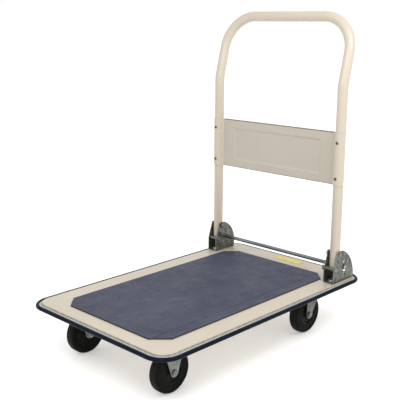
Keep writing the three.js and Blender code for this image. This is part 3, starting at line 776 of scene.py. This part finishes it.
def add_bracket(side, sign):
    low, high = node_box(f"bracket_{side}")
    thickness, half_gap = 2.0, 13.2
    channel = Channel((low.x + high.x) / 2, low.z + thickness / 2, 1, half_gap, thickness, 1.0)
    tail_hole = circle(*tail_hole_place, 2.8)
    holes = [circle(*stop_place, bolt_hole), circle(*pivot_place, bolt_hole), tail_hole, bar_slot()]
    web_holes = [(0, y, bolt_hole) for y in bolt_places.values()]
    wings = [bracket_wing("outboard"), bracket_wing("inboard")][::sign]
    shape = channel.fold(Shape(), wings, holes, web_holes)
    piece(f"bracket_channel_{side}", shape, "bracket_zinc", "cart", [f"bracket_{side}"])


def add_cross_bolt(name, side, sign, place, head_radius, head_height, nut_width):
    """A round-headed bolt across a bracket, with its hexagon nut inboard."""
    low, high = node_box(f"{name}_bolt_{side}")
    ends = (high.x, low.x) if sign > 0 else (low.x, high.x)
    crown, tip = ends
    seat = crown - sign * head_height
    profile = [(head_radius * 0.98, seat), (head_radius, seat + sign * 0.5)]
    for i in range(1, 8):
        turn = pi / 2 * i / 7
        across = head_radius * cos(turn) + 0.4 * sin(turn)
        profile.append((across, seat + sign * (0.5 + (head_height - 0.5) * sin(turn))))
    shape = lathe(Shape(), "x", (0, *place), profile, 32, [0.4, 1.0, *[0.8] * 7])
    shank(shape, "x", (0, *place), bolt_radius, seat, tip)
    piece(f"{name}_pin_{side}", shape, "pin_zinc_dark_reflection", "cart", [f"{name}_bolt_{side}"])
    node, made = f"{name}_nut_{side}", f"{name}_hex_nut_{side}"
    add_nut(node, made, "x", (0, *place), nut_width, "pin_zinc_dark_reflection", "cart")


def add_nut(node, name, axis, centre, width, finish, body):
    low, high = node_box(node)
    start, end = getattr(low, axis), getattr(high, axis)
    nut = hexagon(Shape(), axis, centre, width, start, end, nut_bore)
    piece(name, nut, finish, body, [node])


def add_bracket_bolts(side, sign):
    """Flanged hexagon bolts that hold a bracket to the deck, with nuts underneath."""
    head_height = 5.3
    for place, y in bolt_places.items():
        name = f"bracket_bolt_{side}_{place}"
        low, high = node_box(name)
        centre = (sign * leg_x, y, 0)
        seat = high.z - head_height
        flange = [(7.9, seat), (8.0, seat + 0.5), (7.6, seat + 0.9), (6.0, seat + 1.0)]
        shape = lathe(Shape(), "z", centre, flange, 40)
        hexagon(shape, "z", centre, bolt_width - 0.4, seat + 0.9, high.z)
        shank(shape, "z", centre, bolt_radius, seat, low.z, threaded=9.0)
        piece(f"{name}_hex", shape, "fastener", "cart", [name])
        name = f"bracket_nut_{side}_{place}"
        add_nut(name, f"{name}_hex", "z", centre, bolt_width, "fastener", "cart")


def add_lock_bar():
    low, high = node_box("lock_bar")
    ease, full = 0.9, bar_radius
    profile = [(full - ease, low.x), (full - 0.25, low.x + 0.3), (full, low.x + ease)]
    profile += [(full, x * high.x / 8) for x in range(-7, 8)]
    profile += [(r, -x) for r, x in reversed(profile[:3])]
    wear_and_painted_light = [1.0, 1.0, 0.4, *[0.0] * 15, 0.4, 1.0, 1.0]
    shape = lathe(Shape(), "x", (0, *bar_place), profile, 32, wear_and_painted_light)
    piece("foot_bar_rod", shape, "bar_steel", "foot_bar", ["lock_bar"])
    for side in SIDES:
        low, high = node_box(f"bar_clip_{side}")
        clip = lathe_ring(low.x, high.x, bar_radius + 0.2, (high.y - low.y) / 2)
        piece(f"foot_bar_clip_{side}", clip, "clip_steel_painted_shade", "foot_bar", [f"bar_clip_{side}"])


def lathe_ring(start, end, inner, outer):
    """A flat retaining ring on the foot bar."""
    profile = rounded([(inner, start, 0.2), (outer, start, 0.4), (outer, end, 0.4), (inner, end, 0.2)], 3)
    return lathe(Shape(), "x", (0, *bar_place), profile, 36, joined=True)


def add_bar_spring(side, sign):
    """A torsion spring on the stop bolt: an arm under the foot bar, the coil, and an upright tail."""
    low, high = node_box(f"bar_spring_{side}")
    wire, turns, pitch = 0.8, 1.25, 1.9
    coil = bar_radius + wire + 0.4
    face = max(abs(low.x), abs(high.x)) - wire
    under = stop_place[1] - coil
    points = [Vector((sign * face, high.y - 0.4 - run, under)) for run in (0, 12, 24, 36, 44)]
    steps = 24
    for step in range(steps + 1):
        share = turns * step / steps
        angle = -pi / 2 - share * 2 * pi
        y, z = stop_place[0] + coil * cos(angle), stop_place[1] + coil * sin(angle)
        points.append(Vector((sign * (face - pitch * share), y, z)))
    end = points[-1]
    points += [Vector((end.x, end.y, end.z + rise)) for rise in (4, 9, 14.4)]
    shape = sweep(Shape(), points, wire - 0.05, 12)
    piece(f"bar_torsion_spring_{side}", shape, "bar_steel", f"spring_{side}", [f"bar_spring_{side}"])


# ---- handle ----

def handle_line():
    """Centre line of the handle, from the left foot over the top to the right foot."""
    foot = node_box("handle_tube")[0].z
    kink, bend_radius, lean, reach, corner = 623.0, 60.0, radians(14), 168.0, 88.0
    up, right, rear = Vector((0, 0, 1)), Vector((1, 0, 0)), Vector((0, 1, 0))
    leaning = Vector((0, sin(lean), cos(lean)))
    start = kink - bend_radius * tan(lean / 2)
    heights = [foot, foot + 1, *(foot + (start - foot) * i / 10 for i in range(1, 11))]
    points = [Vector((-leg_x, leg_y, z)) for z in heights]
    bend_centre = points[-1] + rear * bend_radius
    points += arc(bend_centre, -rear * bend_radius, up * bend_radius, lean, 6)[1:]
    centre = Vector((corner - leg_x, leg_y, kink)) + leaning * (reach - corner)
    quarter = arc(centre, -right * corner, leaning * corner, pi / 2, 18)
    points += [points[-1].lerp(quarter[0], 0.5), *quarter]
    across = [quarter[-1].lerp(Vector((0, *quarter[-1].yz)), share) for share in (0.33, 0.66, 1.0)]
    half = points + across
    return half + [Vector((-p.x, p.y, p.z)) for p in reversed(half[:-1])]


def add_handle_tube():
    radius, bore = 12.7, 11.1
    shape = sweep(Shape(), handle_line(), radius, 48, bore)
    piece("handle_hoop", shape, "enamel", "handle", ["handle_tube"], crease=50)


panel_sheet = 1.2
panel_recess = {"half_width": 145.0, "half_height": 45.0, "radius": 7.0, "slope": 6.0, "depth": 1.7}


def recess_depth(x, rise):
    """How far the panel's face is pressed back, rise above its middle."""
    half_width, half_height = panel_recess["half_width"], panel_recess["half_height"]
    radius = panel_recess["radius"]
    a, b = abs(x) - (half_width - radius), abs(rise) - (half_height - radius)
    beyond = hypot(max(a, 0), max(b, 0)) + min(max(a, b), 0)
    return panel_recess["depth"] * ease((radius - beyond) / panel_recess["slope"])


def stops(half, edge, slope, coarse):
    """Places from -half to half, close together across a pressed edge."""
    inside = [edge - slope - 1 + i * (slope + 2) / 9 for i in range(10)]
    flat = [i * coarse for i in range(int((edge - slope - 2) / coarse) + 1)]
    outside = [edge + 2.5, half]
    one_side = sorted({round(value, 3) for value in flat + inside + outside})
    return [-value for value in reversed(one_side) if value > 0] + one_side


def add_panel():
    """The cross panel: a recessed face, hems folded back, and ends curled round the legs."""
    low, high = node_box("handle_panel")
    mid_z, half_height = (low.z + high.z) / 2, (high.z - low.z) / 2
    front, back = leg_y - panel_sheet / 2, leg_y + panel_sheet / 2
    hem_x, bend, flange = 182.0, 2.6, 8.0
    rows = stops(half_height - bend, panel_recess["half_height"], panel_recess["slope"], 19)
    wear_and_painted_light = [0.0] * len(rows)
    # Both hems are marked for the dark edge colour: painted shade along the panel's top and bottom.
    wear_and_painted_light += [0.8, 1.0, 1.0, 1.0, 1.0, 1.0, 1.0, 0.3, 0.2, 0.1, 0.1, 0.1]
    wear_and_painted_light += [0.0] * len(rows)
    wear_and_painted_light += [0.1, 0.1, 0.1, 0.2, 0.3, 1.0, 1.0, 1.0, 1.0, 1.0, 1.0, 0.8]
    rings = []
    for x in stops(hem_x, panel_recess["half_width"], panel_recess["slope"], 24):
        hems = []
        for side in (-1, 1):
            pivot = Vector((x, front + bend, mid_z + side * (half_height - bend)))
            upright = Vector((0, 0, side))
            outer = arc(pivot, Vector((0, -bend, 0)), upright * bend, pi / 2, 5)
            inner_bend = bend - panel_sheet
            inner = arc(pivot, Vector((0, -inner_bend, 0)), upright * inner_bend, pi / 2, 5)
            lip = [end + Vector((0, flange - bend, 0)) for end in (outer[-1], inner[-1])]
            hems.append(outer[1:] + lip + inner[:0:-1])
        bottom, top = hems
        pressed = [recess_depth(x, rise) for rise in rows]
        front_face, back_face = (
            [Vector((x, face + depth, mid_z + rise)) for depth, rise in zip(pressed, rows)]
            for face in (front, back)
        )
        rings.append(front_face + top + back_face[::-1] + bottom[::-1])
    shape = Shape().loft(rings)
    shape.wear_and_painted_light = wear_and_painted_light * len(rings)
    piece("handle_cross_panel", shape, "panel_enamel", "handle", ["handle_panel"], crease=42)
    for side, sign in SIDES.items():
        end = panel_end(sign, hem_x, low.z, high.z)
        piece(f"handle_panel_end_{side}", end, "enamel", "handle", crease=42)


def panel_end(sign, hem_x, bottom, top):
    """One end of the panel: flat, then a small fillet, then a half turn round the leg's front."""
    curl, fillet = 13.6, 6.0
    reach = sqrt((curl + fillet) ** 2 - fillet**2)
    meet = asin(fillet / (curl + fillet))
    line = [Vector((hem_x, leg_y))]
    centre = Vector((leg_x - reach, leg_y - fillet))
    turns = [pi / 2 - (pi / 2 - meet) * i / 5 for i in range(6)]
    line += [centre + Vector((cos(a), sin(a))) * fillet for a in turns]
    leg = Vector((leg_x, leg_y))
    for i in range(1, 19):
        angle = pi + meet + (pi - meet) * i / 18
        line.append(leg + Vector((cos(angle), sin(angle))) * curl)
    half = panel_sheet / 2
    normals = []
    for index in range(len(line)):
        along = (line[min(index + 1, len(line) - 1)] - line[max(index - 1, 0)]).normalized()
        normals.append(Vector((along.y, -along.x)))
    outer = [point + normal * half for point, normal in zip(line, normals)]
    inner = [point - normal * half for point, normal in zip(line, normals)]
    outline = [Vector((sign * point.x, point.y)) for point in outer + inner[::-1]]
    levels = [bottom, bottom + 0.5, top - 0.5, top]
    return Shape().loft([[Vector((*point, z)) for point in outline] for z in levels], [0.9, 0.2, 0.2, 0.9])


def add_panel_screws():
    """Small pan-head screws with a round dimple in the head, on the front of the curled ends."""
    for side in SIDES:
        for level in ("upper", "lower"):
            node = f"panel_rivet_{side}_{level}"
            low, high = node_box(node)
            centre = ((low.x + high.x) / 2, 0, (low.z + high.z) / 2)
            face = low.y
            profile = [(0.9, face + 0.5), (1.1, face + 0.02), (2.1, face), (3.1, face + 0.35)]
            profile += [(3.6, face + 1.0), (3.6, face + 1.55), (1.8, face + 1.6), (1.8, high.y)]
            shape = lathe(Shape(), "y", centre, profile, 32, [0, 0.3, 0.6, 0.8, 0.6, 0.2, 0, 0])
            piece(f"panel_screw_{side}_{level}", shape, "dark_rivet", "handle", [node])


# ---- casters ----

fork_gap, fork_sheet = 15.0, 2.5
axle_z = 50.0
king_bore = 6.3


def fork_leg(start, front, rear, axle_y, bow):
    """A fork leg in (y, z): wide under the plate, drawn in along a curve to a round eye."""
    eye = 11.0
    shares = [step / 14 for step in range(14)]

    def edge(top_y, end_y):
        run, drop = top_y - end_y, start - axle_z
        return [(end_y + run * (1 - share) ** bow, start - drop * share) for share in shares]

    turns = [pi * i / 16 for i in range(17)]
    bottom = [(axle_y - eye * cos(turn), axle_z - eye * sin(turn)) for turn in turns]
    return edge(front, axle_y - eye) + bottom + edge(rear, axle_y + eye)[::-1]


def add_plate(shape, box, holes=()):
    """A caster's top plate with rounded corners and a slot for a bolt near each corner."""
    low, high = box
    centre = (low + high) / 2
    half = (high - low) / 2
    slots = [clockwise([(x + a, y + b) for a, b in bolt_slot()]) for x, y in plate_bolts()]
    work = sheet([rectangle(-half, half, 6, 6), *slots, *holes], fork_sheet, 0.4)
    top = high.z - fork_sheet / 2
    return emptied(work, shape, fork_sheet, lambda u, v, w: (centre.x + u, centre.y + v, top + w))


def plate_bolts():
    return [(x, y) for x in (-24.5, 24.5) for y in (-38.5, 38.5)]


def bolt_slot():
    """A slot along y for an M6 bolt."""
    radius, half = 3.4, 2.2
    turns = [pi * i / 10 for i in range(11)]
    ahead = [(radius * cos(turn), half + radius * sin(turn)) for turn in turns]
    return ahead + [(-x, -y) for x, y in ahead]


def add_plate_bolts(name, box):
    """Four bolts that hold a caster to its crossmember, their nuts inside the hat section."""
    low, high = box
    centre = (low + high) / 2
    head, nut, web = 4.0, 4.6, 2.0
    under, over = high.z - fork_sheet, high.z + 0.3 + web
    bolts, nuts = Shape(), Shape()
    for x, y in plate_bolts():
        at = (centre.x + x, centre.y + y, 0)
        hexagon(bolts, "z", at, 10.0, under, under - head)
        shank(bolts, "z", at, 3.0, under, over + nut + 0.9, 5.0, 1.0)
        hexagon(nuts, "z", at, 10.0, over, over + nut, 3.1)
    piece(f"{name}_mounting_bolts", bolts, "fastener", "cart")
    piece(f"{name}_mounting_nuts", nuts, "fastener", "cart")


def add_fixed_fork(side):
    node = f"fixed_fork_{side}"
    low, high, centre = placed(node)
    under = high.z - fork_sheet
    channel = Channel(centre.x, under - fork_sheet / 2, -1, fork_gap, fork_sheet, 3)
    start = under - 7.5
    half_top, bow = 33, 1.1
    leg = fork_leg(start, centre.y - half_top, centre.y + half_top, centre.y, bow)
    shape = channel.fold(Shape(), [leg, leg], [axle_hole(centre.y)])
    add_plate(shape, (low, high))
    piece(f"rigid_fork_{side}", shape, "fork_zinc", "cart", [node])
    add_plate_bolts(f"front_{side}", (low, high))


def axle_hole(y):
    return circle(y, axle_z, bolt_hole)


def add_swivel_plate(side):
    """The rear caster's fixed plate, with the race that the crown turns under."""
    node = f"swivel_plate_{side}"
    low, high, centre = placed(node)
    race = 23.0
    under = high.z - fork_sheet
    bore_side = [(king_bore, under, 0.3), (king_bore, low.z, 0.4)]
    ring = rounded(bore_side + [(race - 1.5, low.z, 1.2), (race, under, 1.0)], 4)
    plate = lathe(Shape(), "z", centre, ring, 64, joined=True)
    add_plate(plate, (low, high), [circle(0, 0, king_bore, 32)])
    piece(f"swivel_top_plate_{side}", plate, "fork_zinc", "cart", [node])
    add_plate_bolts(f"rear_{side}", (low, high))


def add_swivel_fork(side):
    """The crown and fork that turn under the plate."""
    node = f"swivel_fork_{side}"
    high = node_box(node)[1]
    centre = placed(f"swivel_plate_{side}")[2]
    axle_y = placed(f"wheel_hub_rear_{side}")[2].y
    crown, room, floor_top, bottom = 28.0, 24.0, 112.9, 107.8
    cup = [
        (king_bore, bottom, 0.4),
        (crown - 4, bottom, 3.0),
        (crown, bottom + 4.2, 2.2),
        (crown, high.z, 0.8),
        (room, high.z, 0.6),
        (room, floor_top, 0.8),
        (king_bore, floor_top, 0.4),
    ]
    shape = lathe(Shape(), "z", centre, rounded(cup, 5), 64, joined=True)
    channel = Channel(centre.x, bottom + fork_sheet / 2 - 0.1, -1, fork_gap, fork_sheet, 3)
    ahead, behind, bow = 40, 20, 1.25
    leg = fork_leg(bottom - 4.5, centre.y - ahead, centre.y + behind, axle_y, bow)
    channel.fold(shape, [leg, leg], [axle_hole(axle_y)], [(0, centre.y, king_bore)])
    piece(f"swivel_crown_fork_{side}", shape, "swivel_zinc", f"swivel_{side}", [node])


def add_kingpin(side):
    """The rivet that the rear fork turns on."""
    node = f"kingpin_{side}"
    low, high = node_box(node)
    centre = placed(f"swivel_plate_{side}")[2]
    head = 4.0
    profile = [(0.4, low.z), (6.0, low.z), (8.6, low.z + 0.9), (9.8, low.z + 2.4)]
    profile.append((10.0, low.z + head - 0.3))
    profile += [(9.8, low.z + head), (6.0, low.z + head), (6.0, high.z - 0.6), (5.4, high.z)]
    pin = lathe(Shape(), "z", centre, profile, 48, [0.3, 0.6, 0.8, 1.0, 0.8, 0, 0, 0.2, 0.2])
    piece(f"kingpin_rivet_{side}", pin, "fastener", "cart", [node])


def add_tyre(name, body):
    """A solid tyre: a nearly flat tread with a mould line, round shoulders and a stepped side."""
    low, high, centre = placed(f"tyre_{name}")
    half = (high.x - low.x) / 2
    bore, radius, line = 29.8, 50.0, 0.15
    side = [
        (bore, half - 0.9, 0.5),
        (33.2, half - 0.2, 0.5),
        (34.0, half - 0.9, 0.4),
        (39.0, half - 0.9, 0.4),
        (39.8, half, 0.5),
        (radius - line, half, 7.6),
        (radius - line, 0.5, 0),
        (radius, 0, 0),
    ]
    other = [(r, -along, corner) for r, along, corner in reversed(side[:-1])]
    outline = rounded(side + other, 7)
    profile = [(point.x, centre.x + point.y) for point in outline]
    wear_and_painted_light = [0.75 * ease((point.x - radius + 3.5) / 3) for point in outline]
    shape = lathe(Shape(), "x", centre, profile, 96, wear_and_painted_light, joined=True)
    piece(f"solid_tyre_{name}", shape, "tyre_rubber", body, [f"tyre_{name}"])


def add_hub(name, body):
    """A moulded hub: a rim, a dished web with a raised bead, and a boss round the axle."""
    low, high, centre = placed(f"wheel_hub_{name}")
    half = (high.x - low.x) / 2
    rim, rim_inner, face, web, bead, boss = 29.5, 25.5, 12.0, 9.0, 18.0, 11.0
    side = [
        (rim, face, 0.6),
        (rim_inner, face, 0.8),
        (rim_inner - 1, web, 1.2),
        (bead + 1.5, web - 0.6, 0.5),
        (bead, web + 0.5, 0.5),
        (bead - 1.5, web - 0.6, 0.5),
        (boss, web - 0.6, 1.2),
        (boss - 0.5, half, 0.9),
        (bolt_hole, half, 0.5),
    ]
    other = [(r, -along, corner) for r, along, corner in reversed(side)]
    profile = [(point.x, centre.x + point.y) for point in rounded(side + other, 5)]
    shape = lathe(Shape(), "x", centre, profile, 72, joined=True)
    piece(f"moulded_hub_{name}", shape, "hub_plastic", body, [f"wheel_hub_{name}"])


def add_axle(name, sign, body):
    low, high, centre = placed(f"axle_bolt_{name}")
    head = 3.5
    crown, tip = (high.x, low.x) if sign > 0 else (low.x, high.x)
    seat = crown - sign * head
    shape = hexagon(Shape(), "x", centre, bolt_width, seat, crown)
    shank(shape, "x", centre, bolt_radius, seat, tip, threaded=9.0)
    piece(f"axle_hex_bolt_{name}", shape, "pin_zinc_dark_reflection", body, [f"axle_bolt_{name}"])
    node, made = f"axle_nut_{name}", f"axle_hex_nut_{name}"
    add_nut(node, made, "x", centre, bolt_width, "fastener", body)


# ---- the whole cart ----

add_camera()
add_studio()
add_deck_shell()
add_bumper()
add_mat()
add_label()
add_crossmember("front")
add_crossmember("rear")
add_lock_bar()
add_handle_tube()
add_panel()
add_panel_screws()
for side, sign in SIDES.items():
    add_bracket(side, sign)
    add_cross_bolt("pivot", side, sign, pivot_place, 4.8, 1.5, bolt_width)
    add_cross_bolt("stop", side, sign, stop_place, 4.9, 1.2, 11.0)
    add_bracket_bolts(side, sign)
    add_bar_spring(side, sign)
    add_fixed_fork(side)
    add_swivel_plate(side)
    add_swivel_fork(side)
    add_kingpin(side)
    for place, body in (("front", "cart"), ("rear", f"swivel_{side}")):
        add_axle(f"{place}_{side}", sign, body)
        add_hub(f"{place}_{side}", f"wheel_{place}_{side}")
        add_tyre(f"{place}_{side}", f"wheel_{place}_{side}")
